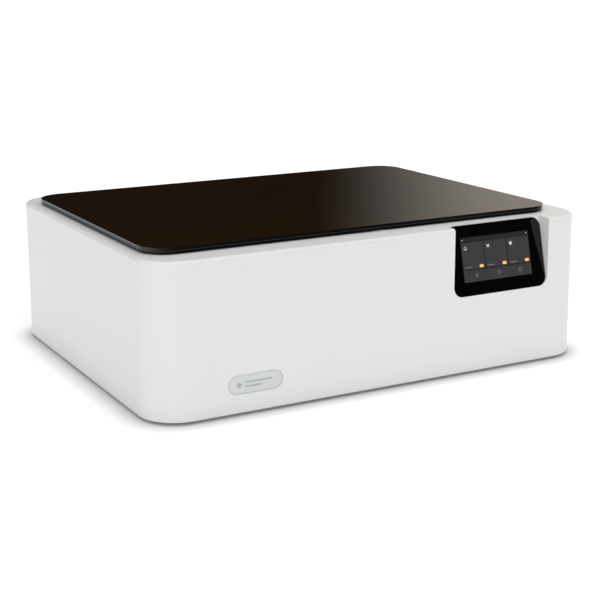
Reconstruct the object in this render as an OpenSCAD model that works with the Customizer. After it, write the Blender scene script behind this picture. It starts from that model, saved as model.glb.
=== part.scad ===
// Desktop laser cutter: a low, wide housing with a tinted hinged lid, a leaning touch panel
// at the front right, a flying-optics gantry over a honeycomb bed, and a water-cooled gas
// laser tube in a bay along the back.
// Millimetres, +Z up, +X to the right and -Y to the front. The origin is on the floor, at
// the centre of the whole machine's bounding box.

/* [Housing] */
// Width of the housing
body_w = 600; // [596:1:606]
// Depth of the housing, without the duct collar
body_d = 474; // [472:1:480]
// Height of the housing from its lower edge to the rim
body_h = 182; // [182:1:186]
// Radius of the four upright corners
corner_r = 47; // [38:1:50]
// Radius of the rounded edge around the rim
edge_r = 4; // [2:0.5:6]
// Thickness of the moulded walls
wall = 3; // [2.5:0.1:3.4]
// Height of the housing's lower edge above the floor
foot_h = 4; // [4:0.5:5]

/* [Lid] */
// Width of the lid
lid_w = 562; // [558:1:564]
// Depth of the lid
lid_d = 400; // [398:1:404]
// Radius of the lid's corners
lid_r = 34; // [28:1:38]
// Thickness of the tinted pane
pane_t = 3.5; // [3:0.1:4]
// Thickness of the frame under the pane
lid_frame_t = 3.5; // [3.5:0.1:4]

/* [Touch panel] */
// Width of the recess that holds the touch panel
recess_w = 143; // [140:1:146]
// How far the recess leans back at the rim
recess_d = 20; // [18:0.5:22]
// Height of the recess, down from the rim
recess_h = 86; // [82:1:90]

/* [Motion] */
// Length of the work area, along X
work_x = 300; // [280:5:300]
// Depth of the work area, along Y
work_y = 210; // [200:5:210]
// Height of the beam of light above the floor
beam_z = 150; // [149:0.5:151]
// Radius of the toothed pulleys
pulley_r = 6; // [5.5:0.1:6.2]

/* [Laser tube] */
// Radius of the tube's glass jacket
tube_r = 25; // [22:0.5:25]
// Length of the glass jacket
tube_l = 490; // [460:5:490]

/* [Exhaust] */
// Outer radius of the duct collar
collar_r = 49; // [47:0.5:50]
// How far the collar stands out behind the housing
collar_out = 20; // [18:1:24]

/* [Hidden] */
$fn = 64;

// Heights above the floor
z_rim = foot_h + body_h;
z_lid = z_rim + 1;
z_pane = z_lid + lid_frame_t;
z_plate = foot_h + 3;          // top of the base plate
z_cover = z_rim - 9;           // underside of the two inner covers
z_bed = 40;                    // top of the honeycomb
z_shelf = 110;                 // top of the shelves that carry the rails
z_rail = 120;                  // underside of the rails
z_axis = 127;                  // axis of the Y drive
z_end = 135;                   // underside of the gantry's end plates
z_beam = z_end + 4;            // underside of the gantry beam
z_tip = 88;                    // tip of the nozzle
z_board = 112;                 // shelf under the mainboard
z_gauge = 104;                 // pivot of the focus gauge
z_knob = 122;                  // axis of the knob that locks the lens tube
sleeve_z = [112, 132];         // sleeve that the lens tube slides in
lens_r = 11;                   // radius of the lens tube
// Walls
x_in = body_w / 2 - wall;
y_front = -body_d / 2;
y_back = body_d / 2;
y_panel = y_back - wall;       // outer face of the rear panel
sheet = 1.5;                   // thickness of the inner sheet metal
screw_r = 1.5;
screw_head_r = 3.2;
screw_hole_r = 1.8;
liner_x = -285;
liner_y = -196;
bulkhead_x = 172;
bulkhead_y = 120;
// Lid and its opening
lid_x = -5.5;
lid_y = 0.5;
opening = [527, 370, 22];      // width, depth and corner radius
opening_y = lid_y - 2;
hinge_y = lid_y + lid_d / 2 + 5;
hinge_z = z_rim + 3.3;
knuckle_r = 3;
hinge_pin_r = 1.5;
hinge_x = [lid_x - 170, lid_x + 170];
sensor_x = [-196, 156];
// Touch panel
recess_x = 166.5;
recess_z = z_rim - recess_h;
lean = atan(recess_d / recess_h);
panel_l = norm([recess_d, recess_h]);
glass_t = 2;
panel_r = 13;                  // radius of the recess's corners
// Rails and the gantry at rest, which is parked at the rear left
rail_x = [-245, 118];
belt_x = [-265, 141];
shelf_edge = [-232, 104];
drive_y = 110;
idler_y = -180;
beam_y = 85;
head_y = beam_y - 42;
head_x = -215;
mirror_x = -262;
x_pulley_x = 151.5;
x_idler_x = -242;
x_belt_z = 168;
// Bed
bed_x = head_x + work_x / 2;
bed_y = head_y - work_y / 2;
// Rear bay
tube_x = 20;
tube_y = 165;
fan_x = -140;
fan_z = 72;
fill_x = 10;
fill_z = 98;
exhaust_r = 56;                // bore of the exhaust fan's frame
cooling_r = 39;                // bore of the radiator fan's frame
radiator_x = 120;
radiator_z = 67;
inlet_x = 205;
inlet_z = 60;
ports_z = 132;
badge_x = -176;
badge_z = 37;
rear_window = [472, 154];
window_z = 91;                 // middle of the window in the back wall
rear_screws = [[242, 22], [-242, 22], [242, 162], [-242, 162], [70, 172], [-70, 172],
               [70, 11.5], [-70, 11.5], [183, 172], [183, 11.5]];
feet = [[235, 175], [-235, 175], [235, -175], [-235, -175]];

// Routes of the hoses and of the high-voltage lead
tube_to_tank = [[-201, 165, 117.9], [-201, 165, 108], [-194, 152, 100], [-178, 143, 96],
                [-155, 140, 95], [-120, 143, 97], [-96, 158, 98], [-82, 162, 98], [-68.1, 162, 98]];
tube_to_radiator = [[241, 165, 117.9], [241, 165, 108], [236, 180, 99], [218, 188, 94],
                    [196, 186, 91], [180, 178, 90], [172, 176, 90], [162.1, 176, 90]];
radiator_to_tank = [[77.9, 173, 46], [72, 173, 46], [66, 173, 46], [60.1, 173, 46]];
lead_route = [[240, 60.1, 72], [240, 72, 72], [243, 88, 82], [250, 104, 104], [264, 130, 130],
              [281, 150, 146], [288, 163, 150], [277.1, 165, 150]];

white = "#e9eae9";
black = "#101112";
steel = "#b9bcc0";
alloy = "#9da1a6";

// The machine is built about the centre of its housing, then moved so that the collar counts.
module machine() translate([0, -collar_out / 2, 0]) children();

module span(x, y, z)
    translate([x[0], y[0], z[0]]) cube([x[1] - x[0], y[1] - y[0], z[1] - z[0]]);

module rounded(w, d, r) {
    square([w, d - 2 * r], center = true);
    square([w - 2 * r, d], center = true);
    for (x = [-1, 1], y = [-1, 1])
        translate([x * (w / 2 - r), y * (d / 2 - r)]) circle(r);
}

// A rounded plate between two heights
module slab(w, d, r, z) translate([0, 0, z[0]]) linear_extrude(z[1] - z[0]) rounded(w, d, r);

module rod_x(x, y, z, r, fn = 48)
    translate([x[0], y, z]) rotate([0, 90, 0]) cylinder(h = x[1] - x[0], r = r, $fn = fn);

module rod_y(x, y, z, r, fn = 48)
    translate([x, y[1], z]) rotate([90, 0, 0]) cylinder(h = y[1] - y[0], r = r, $fn = fn);

module rod_z(x, y, z, r, fn = 48)
    translate([x, y, z[0]]) cylinder(h = z[1] - z[0], r = r, $fn = fn);

// A YZ outline carried along X
module prism_x(x, points)
    translate([x[0], 0, 0]) rotate([90, 0, 90]) linear_extrude(x[1] - x[0]) polygon(points);

// The frame of the leaning panel: x across it, y into the machine, z up its face
module leaning() translate([recess_x, y_front, recess_z]) rotate([-lean, 0, 0]) children();

// A block whose upper edge is a quarter round
module eased_block(w, d, h, r, f) {
    linear_extrude(h - f) rounded(w, d, r);
    translate([0, 0, h - f]) linear_extrude(f) rounded(w - 2 * f, d - 2 * f, r - f);
    translate([0, 0, h - f]) {
        for (side = [[0, w, d], [90, d, w], [180, w, d], [270, d, w]])
            rotate(side[0]) translate([0, side[2] / 2 - f, 0]) rotate([90, 0, 90])
                linear_extrude(side[1] - 2 * r, center = true) quarter(f);
        for (corner = [[1, 1, 0], [-1, 1, 90], [-1, -1, 180], [1, -1, 270]])
            translate([corner[0] * (w / 2 - r), corner[1] * (d / 2 - r), 0])
                rotate(corner[2]) rotate_extrude(angle = 90) translate([r - f, 0]) quarter(f);
    }
}

module quarter(f) intersection() {
    circle(f);
    square(f);
}

// A closed belt around two pulleys, in the XY plane
module belt_loop(length, r, thick, width) linear_extrude(width) difference() {
    stadium(length, r + thick);
    stadium(length, r);
}

module stadium(length, r) {
    translate([0, -r]) square([length, 2 * r]);
    circle(r);
    translate([length, 0]) circle(r);
}

// A toothed pulley standing on the XY plane, with its flanges
module pulley(width, bore) difference() {
    union() {
        cylinder(h = width, r = pulley_r, $fn = 48);
        for (z = [0, width - 1]) translate([0, 0, z]) cylinder(h = 1, r = pulley_r + 1.6, $fn = 48);
    }
    if (bore > 0) translate([0, 0, -1]) cylinder(h = width + 2, r = bore, $fn = 48);
}

// A hose along a smooth curve through its points
function curve(p, n = 6) = [
    for (i = [0 : len(p) - 2], k = [0 : n - 1])
        let (a = p[max(i - 1, 0)], b = p[i], c = p[i + 1], d = p[min(i + 2, len(p) - 1)], t = k / n)
            0.5 * (2 * b + (c - a) * t + (2 * a - 5 * b + 4 * c - d) * t * t
                   + (3 * b - a - 3 * c + d) * t * t * t),
    p[len(p) - 1]
];
function unit(v) = v / norm(v);
function square_to(v, t) = unit(v - (v * t) * t);
function carry(dirs, i, v) = i == len(dirs) ? [] :
    let (w = square_to(v, dirs[i])) concat([w], carry(dirs, i + 1, w));

module hose(points, r, sides = 8) {
    path = curve(points);
    last = len(path) - 1;
    dirs = [for (i = [0 : last]) unit(path[min(i + 1, last)] - path[max(i - 1, 0)])];
    first_side = abs(dirs[0][2]) > 0.9 ? [1, 0, 0] : [0, 0, 1];
    side = carry(dirs, 0, first_side);
    rings = [for (i = [0 : last], k = [0 : sides - 1])
        let (a = 360 * k / sides, u = side[i], v = cross(dirs[i], u))
            path[i] + r * (cos(a) * u + sin(a) * v)];
    walls = [for (i = [0 : last - 1], k = [0 : sides - 1])
        let (n = (k + 1) % sides, a = i * sides, b = a + sides) [a + k, b + k, b + n, a + n]];
    ends = [[for (k = [0 : sides - 1]) k], [for (k = [sides - 1 : -1 : 0]) last * sides + k]];
    polyhedron(rings, concat(walls, ends));
}

// ---- Casing ----

module outer_housing() color(white) difference() {
    union() {
        difference() {
            translate([0, 0, foot_h]) eased_block(body_w, body_d, body_h, corner_r, edge_r);
            slab(body_w - 2 * wall, body_d - 2 * wall, corner_r - wall, [0, z_rim - wall]);
        }
        prism_x([recess_x - recess_w / 2 - wall, recess_x + recess_w / 2 + wall], [
            [y_front + 1, recess_z - 8], [y_front + 1, z_rim - 1],
            [y_front + recess_d + 7, z_rim - 1], [y_front + 7, recess_z - 8]]);
        screw_bosses();
    }
    // opening under the lid
    translate([lid_x, opening_y, 0])
        slab(opening[0], opening[1], opening[2], [z_rim - wall - 1, z_rim + 1]);
    // recess in front of the leaning panel, and the window behind its glass
    leaning() {
        translate([0, glass_t, panel_l / 2 + 15]) rotate([90, 0, 0])
            linear_extrude(62) rounded(recess_w, panel_l + 30, panel_r);
        span([-57, 57], [0, 30], [12, 78]);
    }
    // window of the rear panel, and its screw holes
    translate([0, y_back + 1, window_z]) rotate([90, 0, 0])
        linear_extrude(wall + 2) rounded(rear_window[0], rear_window[1], 6);
    for (p = rear_screws) rod_y(p[0], [y_back - wall - 1, y_back + 1], p[1], screw_hole_r);
    for (p = base_screws()) rod_z(p[0], p[1], [0, z_plate + 18], 1.6);
    // pocket for the badge
    translate([badge_x, y_front + 1.2, badge_z]) badge_outline(11.3, 3);
}

// Bosses inside the walls that the base plate is screwed to
module screw_bosses() {
    top = z_plate + 22;
    for (p = base_screws()) rod_z(p[0], p[1], [z_plate, top], 4.5);
    for (p = side_screws()) {
        edge = [min(p[0], sign(p[0]) * (x_in + 1)), max(p[0], sign(p[0]) * (x_in + 1))];
        span(edge, [p[1] - 2, p[1] + 2], [z_plate, top]);
    }
    for (p = front_screws()) span([p[0] - 2, p[0] + 2], [y_front + 1, p[1]], [z_plate, top]);
}

// The stadium of the badge, reaching to the front
module badge_outline(r, depth) rotate([90, 0, 0]) linear_extrude(depth) {
    square([47, 2 * r], center = true);
    for (x = [-23.5, 23.5]) translate([x, 0]) circle(r);
}

module badge() color("#d3d6d5")
    translate([badge_x, y_front + 1.2, badge_z]) badge_outline(11, 0.7);

module base_plate() color(steel) difference() {
    slab(body_w - 2 * wall - 1, body_d - 2 * wall - 1, corner_r - wall - 0.5, [z_plate - 2, z_plate]);
    for (i = [0 : 9]) {
        span([210, 270], [-120 + 12 * i, -115 + 12 * i], [0, 20]);
        span([90, 150], [128 + 9 * i, 132 + 9 * i], [0, 20]);
    }
    for (p = base_screws()) rod_z(p[0], p[1], [0, 20], screw_hole_r);
}

function side_screws() = [for (x = [-291.5, 291.5], y = [-150, 0, 150]) [x, y]];
function front_screws() = [for (x = [-150, 100]) [x, 5.5 + wall - body_d / 2]];
function base_screws() = concat(side_screws(), front_screws());

module rubber_feet() color("#1b1b1c") for (p = feet)
    translate([p[0], p[1], 0]) rotate_extrude()
        polygon([[0, 0], [10, 0], [11, 1], [12, z_plate - 2], [0, z_plate - 2]]);

// Pan-head screws: those of the rear panel, the base plate and the two inner covers
module panel_screws() color("#6c7075") {
    for (p = rear_screws) {
        rod_y(p[0], [y_back, y_back + 1.8], p[1], screw_head_r);
        rod_y(p[0], [y_back - wall - 4, y_back], p[1], screw_r);
    }
    for (p = base_screws()) {
        rod_z(p[0], p[1], [z_plate - 3.6, z_plate - 2], screw_head_r);
        rod_z(p[0], p[1], [z_plate - 2, z_plate + 4], screw_r);
    }
    for (p = cover_screws()) {
        rod_z(p[0], p[1], [z_cover + sheet, z_cover + sheet + 1.6], screw_head_r);
        rod_z(p[0], p[1], [z_cover - 4, z_cover + sheet], screw_r);
    }
}

function cover_screws() = [[-240, 130], [-5, 130], [230, 130], [-240, 186], [230, 186],
                           [182, -160], [248, -160], [182, 100], [248, 100]];

// The back plate of the rear bay, and to its right the connector plate of the electronics bay
module rear_panel() color(white) difference() {
    translate([0, y_panel, window_z + 2]) rotate([90, 0, 0]) linear_extrude(2)
        rounded(rear_window[0] + 24, rear_window[1] + 14, 8);
    for (p = rear_screws) rod_y(p[0], [y_panel - 3, y_panel + 1], p[1], screw_hole_r);
    rod_y(fan_x, [y_panel - 3, y_panel + 1], fan_z, 50);
    rod_y(fill_x, [y_panel - 3, y_panel + 1], fill_z, 11.5);
    span([bulkhead_x + 4, bulkhead_x + 4.4], [y_panel - 3, y_panel + 1], [0, z_rim]);
    span([inlet_x - 14, inlet_x + 14], [y_panel - 3, y_panel + 1], [inlet_z - 29, inlet_z + 29]);
    span([inlet_x - 18.5, inlet_x + 18.5], [y_panel - 3, y_panel + 1], [ports_z - 10.5, ports_z + 10.5]);
    for (i = [-5 : 5])
        translate([radiator_x + 7 * i, y_panel + 1, radiator_z]) rotate([90, 0, 0])
            linear_extrude(4) rounded(3.4, 84, 1.6);
}

// ---- Chamber ----

module chamber_liner() color(steel) {
    span([liner_x, liner_x + sheet], [liner_y, bulkhead_y], [z_plate, z_cover]);
    span([liner_x + sheet, bulkhead_x], [liner_y, liner_y + sheet], [z_plate, z_cover]);
    span([liner_x + sheet, shelf_edge[0]], [-190, 116], [z_shelf - 2, z_shelf]);
}

module electronics_bulkhead() color(steel) difference() {
    union() {
        span([bulkhead_x, bulkhead_x + sheet], [liner_y, y_panel - 2.5], [z_plate, z_cover]);
        span([shelf_edge[1], bulkhead_x], [-190, 116], [z_shelf - 2, z_shelf]);
        span([bulkhead_x + sheet, 288], [-184, 64], [z_board - sheet, z_board]);
    }
    rod_x([bulkhead_x - 1, bulkhead_x + 3], drive_y, z_axis, 9);
    rod_x([bulkhead_x - 1, bulkhead_x + 3], tube_y, beam_z, tube_r + 3);
    rod_x([bulkhead_x - 1, bulkhead_x + 3], 177, 90.5, 6);
}

module rear_bulkhead() color(steel) difference() {
    span([liner_x, bulkhead_x], [bulkhead_y, bulkhead_y + sheet], [z_plate, z_cover]);
    rod_y(mirror_x, [bulkhead_y - 1, bulkhead_y + 3], beam_z, 6);
    for (i = [0 : 8])
        span([-196 + 13 * i, -190 + 13 * i], [bulkhead_y - 1, bulkhead_y + 3], [44, 100]);
}

module tube_bay_cover() color("#d9dbdc") difference() {
    intersection() {
        span([-292, 292], [bulkhead_y - 2, 228], [z_cover, z_cover + sheet]);
        slab(body_w - 2 * wall - 4, body_d - 2 * wall - 4, corner_r - wall - 2, [0, z_rim]);
    }
    for (p = cover_screws()) rod_z(p[0], p[1], [z_cover - 1, z_cover + 3], screw_hole_r);
}

module electronics_cover() color("#d9dbdc") difference() {
    span([bulkhead_x - 2, 286], [-188, bulkhead_y - 2.5], [z_cover, z_cover + sheet]);
    for (p = cover_screws()) rod_z(p[0], p[1], [z_cover - 1, z_cover + 3], screw_hole_r);
}

// A block around the bed, wider than the work area by a margin all round
module over_bed(margin, z)
    span([bed_x - 1 - work_x / 2 - margin, bed_x - 1 + work_x / 2 + margin],
         [bed_y - work_y / 2 - margin + 3, bed_y + work_y / 2 + margin - 3], z);

module crumb_tray() color(steel) difference() {
    over_bed(24, [z_plate, z_bed - 22]);
    over_bed(22.5, [z_plate + sheet, z_bed]);
}

module bed_frame() color(alloy) difference() {
    over_bed(22, [z_bed - 22, z_bed]);
    over_bed(8, [0, z_bed + 1]);
    over_bed(11, [z_bed - 12, z_bed + 1]);
}

// Large cells that stand for the fine ones, in a slab that lies inside the frame
module honeycomb_core() color("#8f9398") {
    pitch = 22;
    columns = floor(work_x / 2 / pitch);
    rows = floor(work_y / 2 / (pitch * sin(60)));
    translate([bed_x - 1, bed_y, z_bed - 12]) linear_extrude(11.5) difference() {
        square([work_x + 21.8, work_y + 15.8], center = true);
        for (i = [-columns : columns], j = [-rows : rows])
            translate([(i + (j % 2 == 0 ? 0 : 0.5)) * pitch - pitch / 4, j * pitch * sin(60)])
                rotate(30) circle(d = (pitch - 1.6) / cos(30), $fn = 6);
    }
}

module y_rails() color(steel) for (x = rail_x) {
    span([x - 7.5, x + 7.5], [-188, 102.5], [z_shelf, z_rail]);
    span([x - 6, x + 6], [-188, 102.5], [z_rail, z_rail + 8]);
}

// Bearing blocks of the drive shaft at the back, and forks of the idlers at the front
module pulley_brackets() color(alloy) {
    for (x = [-256, 129]) difference() {
        span([x, x + 6], [103.5, 116.5], [z_shelf, z_axis + 7]);
        rod_x([x - 1, x + 7], drive_y, z_axis, 3.05);
    }
    for (x = belt_x) {
        for (side = [-8, 6])
            span([x + side, x + side + 2], [idler_y - 7, idler_y + 7], [z_shelf, z_axis + 6]);
        rod_x([x - 6, x + 6], idler_y, z_axis, 2);
    }
}

module y_belts() color(black) for (x = belt_x)
    translate([x - 3, idler_y, z_axis]) rotate([90, 0, 90])
        belt_loop(drive_y - idler_y, pulley_r + 0.15, 1.35, 6);

module y_motor() color(black) difference() {
    translate([bulkhead_x + sheet, drive_y, z_axis]) rotate([0, 90, 0])
        linear_extrude(38) rounded(42, 42, 4);
    rod_x([bulkhead_x, bulkhead_x + sheet + 2], drive_y, z_axis, 11);
}

module y_drive_shaft() color(steel) {
    rod_x([-274, bulkhead_x + sheet + 1.5], drive_y, z_axis, 3);
    for (x = belt_x) translate([x - 4.5, drive_y, z_axis]) rotate([0, 90, 0]) pulley(9, 0);
    rod_x([150, 168], drive_y, z_axis, 8);
}

module y_idlers() color(steel) for (x = belt_x)
    translate([x - 4.5, idler_y, z_axis]) rotate([0, 90, 0]) pulley(9, 2.05);

// ---- Laser tube and its cooling ----

module laser_tube() color("#cfe0e6") {
    ends = [tube_x - tube_l / 2, tube_x + tube_l / 2];
    difference() {
        rod_x(ends, tube_y, beam_z, tube_r);
        rod_x([ends[0] + 3, ends[1] - 3], tube_y, beam_z, tube_r - 2.2);
    }
    difference() {
        rod_x([ends[0] + 3, ends[1] - 3], tube_y, beam_z, 9);
        rod_x([ends[0] + 2, ends[1] - 2], tube_y, beam_z, 6);
    }
    rod_x([ends[0] - 14, ends[0]], tube_y, beam_z, 13);
    rod_x([ends[1], ends[1] + 12], tube_y, beam_z, 13);
    for (x = [ends[0] + 24, ends[1] - 24])
        rod_z(x, tube_y, [beam_z - tube_r - 7, beam_z - tube_r + 0.4], 3.5);
}

module tube_clamps() color(black) for (x = [-160, 200]) difference() {
    union() {
        span([x - 10, x + 10], [tube_y - 29, tube_y + 29], [beam_z - 31, z_cover - 0.5]);
        span([x - 10, x + 10], [tube_y - 12, tube_y + 12], [z_plate, beam_z - 31]);
        span([x - 16, x + 16], [tube_y - 20, tube_y + 20], [z_plate, z_plate + 4]);
    }
    rod_x([x - 20, x + 20], tube_y, beam_z, tube_r + 0.05);
}

// A round mirror on a post, turned about Z
module mirror_stand(turn, post) rotate(turn) {
    translate([4, 0, 0]) rotate([0, -90, 0]) cylinder(h = 3, r = 9, $fn = 48);
    difference() {
        span([-7, 1], [-12, 12], [-11, 11]);
        for (y = [-9, 9], z = [-8, 8])
            translate([-8, y, z]) rotate([0, 90, 0]) cylinder(h = 10, r = 1.45, $fn = 24);
    }
    for (p = [[-9, -8], [9, -8], [-9, 8]])
        translate([-11, p[0], p[1]]) rotate([0, 90, 0]) {
            cylinder(h = 3.5, r = 2.6, $fn = 24);
            cylinder(h = 11, r = 1.4, $fn = 24);
        }
    if (post > 11) span([-6, 0], [-8, 8], [-post, -11]);
}

module mirror_1() color(alloy) translate([mirror_x - 2.8, tube_y + 2.8, beam_z]) {
    mirror_stand(-45, beam_z - z_plate - 3);
    rotate(-45) span([-14, 10], [-13, 13], [z_plate - beam_z, z_plate - beam_z + 3]);
}

module mirror_2() color(alloy) translate([mirror_x - 2.8, head_y - 2.8, beam_z])
    mirror_stand(45, beam_z - z_beam);

module water_tank() color("#d7e2e6") {
    difference() {
        span([-68, 60], [126, 224], [z_plate, 112]);
        span([-65, 57], [129, 221], [z_plate + 3, 109]);
        rod_y(fill_x, [220, 230], fill_z, 8);
    }
    difference() {
        rod_y(fill_x, [224, y_panel + 4], fill_z, 11);
        rod_y(fill_x, [220, y_panel + 5], fill_z, 9);
    }
}

module fill_cap() color(black) {
    rod_y(fill_x, [y_panel + 4.3, y_panel + 12], fill_z, 13);
    rod_y(fill_x, [y_panel - 6, y_panel + 4.3], fill_z, 8.7);
    for (a = [0 : 30 : 330])
        translate([fill_x, y_panel + 5, fill_z]) rotate([0, a, 0])
            span([12.4, 13.8], [0, 6], [-1.4, 1.4]);
}

module water_pump() color(black) {
    span([-52, -12], [150, 190], [z_plate + 3, z_plate + 34]);
    rod_z(-32, 170, [z_plate + 34, z_plate + 48], 6);
}

module radiator() color(black) {
    difference() {
        span([radiator_x - 42, radiator_x + 42], [160, 186], [radiator_z - 45, radiator_z + 45]);
        for (i = [-8 : 8])
            span([radiator_x - 36, radiator_x + 36], [159, 187],
                 [radiator_z + 4.6 * i - 1.4, radiator_z + 4.6 * i + 1.4]);
    }
    difference() {
        span([radiator_x - 42, radiator_x + 42], [206, 226], [radiator_z - 42, radiator_z + 42]);
        rod_y(radiator_x, [205, 227], radiator_z, cooling_r, 64);
    }
    fan_motor(radiator_x, radiator_z, [222, 226], 13, cooling_r + 0.5);
    for (x = [-40, 36])
        span([radiator_x + x, radiator_x + x + 4], [186, 206], [radiator_z - 4, radiator_z + 4]);
    for (x = [-34, 26])
        span([radiator_x + x, radiator_x + x + 8], [162, 184], [z_plate, radiator_z - 45]);
}

// The still hub of a fan and its three struts
module fan_motor(x, z, y, hub, reach) {
    rod_y(x, y, z, hub);
    for (a = [90, 210, 330]) translate([x, y[0], z]) rotate([0, -a, 0])
        span([hub - 1, reach], [0, y[1] - y[0]], [-2, 2]);
}

// A hub with pitched blades
module impeller(x, z, y, hub, tip, blades) {
    rod_y(x, y, z, hub);
    for (i = [0 : blades - 1])
        translate([x, (y[0] + y[1]) / 2, z]) rotate([0, 360 * i / blades, 0])
            translate([hub - 1.5, 0, 0]) rotate([38, 0, 0])
                span([0, tip - hub + 1.5], [-1, 1], [-10, 10]);
}

module radiator_fan() color("#2a2c2e") 
    impeller(radiator_x, radiator_z, [207.5, 221], 12, 36, 7);

module exhaust_fan_frame() color(black) {
    difference() {
        span([fan_x - 59, fan_x + 59], [204, y_panel - 2], [fan_z - 59, fan_z + 59]);
        rod_y(fan_x, [203, y_panel], fan_z, exhaust_r, 96);
        for (x = [-52, 52], z = [-52, 52]) rod_y(fan_x + x, [203, y_panel], fan_z + z, 2.2);
    }
    fan_motor(fan_x, fan_z, [226, 230], 21, exhaust_r + 0.5);
}

module exhaust_impeller() color("#2a2c2e") impeller(fan_x, fan_z, [206, 225.5], 20, 53, 7);

module exhaust_collar() color(black) {
    difference() {
        union() {
            rod_y(fan_x, [y_panel, y_panel + 2.5], fan_z, collar_r + 7, 96);
            rod_y(fan_x, [y_panel, y_back + collar_out], fan_z, collar_r, 96);
        }
        rod_y(fan_x, [y_panel - 1, y_back + collar_out + 1], fan_z, collar_r - 2, 96);
        for (x = [-37.5, 37.5], z = [-37.5, 37.5])
            rod_y(fan_x + x, [y_panel - 1, y_panel + 4], fan_z + z, 1.7);
    }
    for (r = [14, 25, 36]) difference() {
        rod_y(fan_x, [y_panel, y_panel + 2], fan_z, r + 1, 64);
        rod_y(fan_x, [y_panel - 1, y_panel + 3], fan_z, r - 1, 64);
    }
    for (a = [45 : 90 : 315]) translate([fan_x, y_panel, fan_z]) rotate([0, a, 0])
        span([13.5, collar_r - 1.5], [0, 2], [-1.2, 1.2]);
}

module water_hoses() color("#9fb7c0") {
    hose(tube_to_tank, 3.4);
    hose(tube_to_radiator, 3.4);
    hose(radiator_to_tank, 3.4);
}

module hv_lead() color("#a3231f") hose(lead_route, 2.6);

// ---- Electronics ----

module hv_power_supply() color(alloy) difference() {
    span([184, 286], [-64, 60], [z_plate, 96]);
    span([187, 283], [-61, 57], [z_plate + 3, 93]);
    for (i = [0 : 7]) span([182, 288], [-50 + 13 * i, -44 + 13 * i], [30, 74]);
}

module low_voltage_supply() color(alloy) difference() {
    span([184, 286], [-176, -72], [z_plate, 56]);
    span([186, 284], [-174, -74], [z_plate + 2, 54]);
    for (i = [0 : 6], j = [0 : 5])
        rod_z(196 + 13 * i, -164 + 13 * j, [50, 60], 3.5, 24);
}

module mainboard() color("#1f6b3f") {
    top = z_board + 7.6;
    span([184, 286], [-180, 60], [top - 1.6, top]);
    for (p = [[190, -174], [280, -174], [190, 54], [280, 54]])
        rod_z(p[0], p[1], [z_board, top - 1.6], 3);
    span([196, 226], [-160, -132], [top, top + 11]);
    span([236, 256], [-156, -136], [top, top + 2]);
    for (i = [0 : 3]) span([192, 200], [-112 + 26 * i, -96 + 26 * i], [top, top + 9]);
    for (i = [0 : 2]) span([226, 242], [-80 + 34 * i, -64 + 34 * i], [top, top + 8]);
    for (i = [0 : 2]) rod_z(264, -100 + 40 * i, [top, top + 16], 6);
}

module power_inlet() color(black) {
    difference() {
        union() {
            span([inlet_x - 17, inlet_x + 17], [y_panel, y_panel + 2], [inlet_z - 33, inlet_z + 33]);
            span([inlet_x - 13.8, inlet_x + 13.8], [y_panel - 20, y_panel], [inlet_z - 28.8, inlet_z + 28.8]);
        }
        span([inlet_x - 11.8, inlet_x + 11.8], [y_panel - 15, y_panel + 3], [inlet_z - 22, inlet_z - 5]);
        span([inlet_x - 7, inlet_x + 7], [y_panel - 12, y_panel + 3], [inlet_z + 5, inlet_z + 27]);
        rod_x([inlet_x - 9, inlet_x + 9], y_panel - 1, inlet_z + 16, 1.25);
    }
    for (p = [[-7, 0], [7, 0], [0, 4]])
        span([inlet_x + p[0] - 1, inlet_x + p[0] + 1], [y_panel - 15, y_panel - 1],
             [inlet_z - 16 + p[1], inlet_z - 12 + p[1]]);
}

module power_rocker() color("#8e1b17") translate([0, y_panel - 1, inlet_z + 16]) rotate([8, 0, 0]) {
    prism_x([inlet_x - 6.6, inlet_x + 6.6],
            [[-3.5, -8.6], [3.2, -9.2], [1.4, 0], [3.2, 9.2], [-3.5, 8.6]]);
    rod_x([inlet_x - 8.7, inlet_x + 8.7], 0, 0, 1.2);
}

module data_ports() color(steel) {
    difference() {
        union() {
            span([inlet_x - 18, inlet_x + 18], [y_panel - 18, y_panel + 0.6], [ports_z - 10, ports_z + 10]);
            span([inlet_x - 21, inlet_x + 21], [y_panel - 4, y_panel - 2], [ports_z - 13, ports_z + 13]);
        }
        span([inlet_x - 16, inlet_x - 3], [y_panel - 14, y_panel + 2], [ports_z - 6.5, ports_z + 5.5]);
        span([inlet_x + 1.5, inlet_x + 15.5], [y_panel - 14, y_panel + 2], [ports_z - 3.4, ports_z + 3.4]);
    }
    span([inlet_x + 2.5, inlet_x + 14.5], [y_panel - 14, y_panel - 1], [ports_z + 0.2, ports_z + 2.2]);
}

module display_glass() color(black) leaning()
    translate([0, glass_t, panel_l / 2 - 0.3]) rotate([90, 0, 0])
        linear_extrude(glass_t) rounded(recess_w - 1.5, panel_l - 1.2, panel_r - 0.7);

module display_module() color("#2b2f31") leaning() {
    span([-56, 56], [glass_t + 0.05, 9], [13, 77]);
    span([-60, 60], [9, 10.6], [9, 78]);
    span([-30, 20], [10.6, 14], [22, 40]);
}

module interlock_sensors() color(black) for (x = sensor_x)
    span([x - 12, x + 12], [liner_y + sheet, liner_y + sheet + 12], [z_cover - 12, z_cover + 4]);

// ---- Lid ----

module lid_frame() color(black) difference() {
    translate([lid_x, lid_y, 0]) slab(lid_w - 1.6, lid_d - 1.6, lid_r - 0.8, [z_lid, z_pane]);
    translate([lid_x, lid_y, 0]) slab(lid_w - 46, lid_d - 46, lid_r - 18, [z_lid - 1, z_pane + 1]);
    for (x = hinge_x) span([x - 14.2, x + 14.2], [hinge_y - 28.2, hinge_y], [z_lid - 1, z_pane + 1]);
}

module lid_pane() color("#241a12") translate([lid_x, lid_y, 0])
    slab(lid_w, lid_d, lid_r, [z_pane, z_pane + pane_t]);

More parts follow.
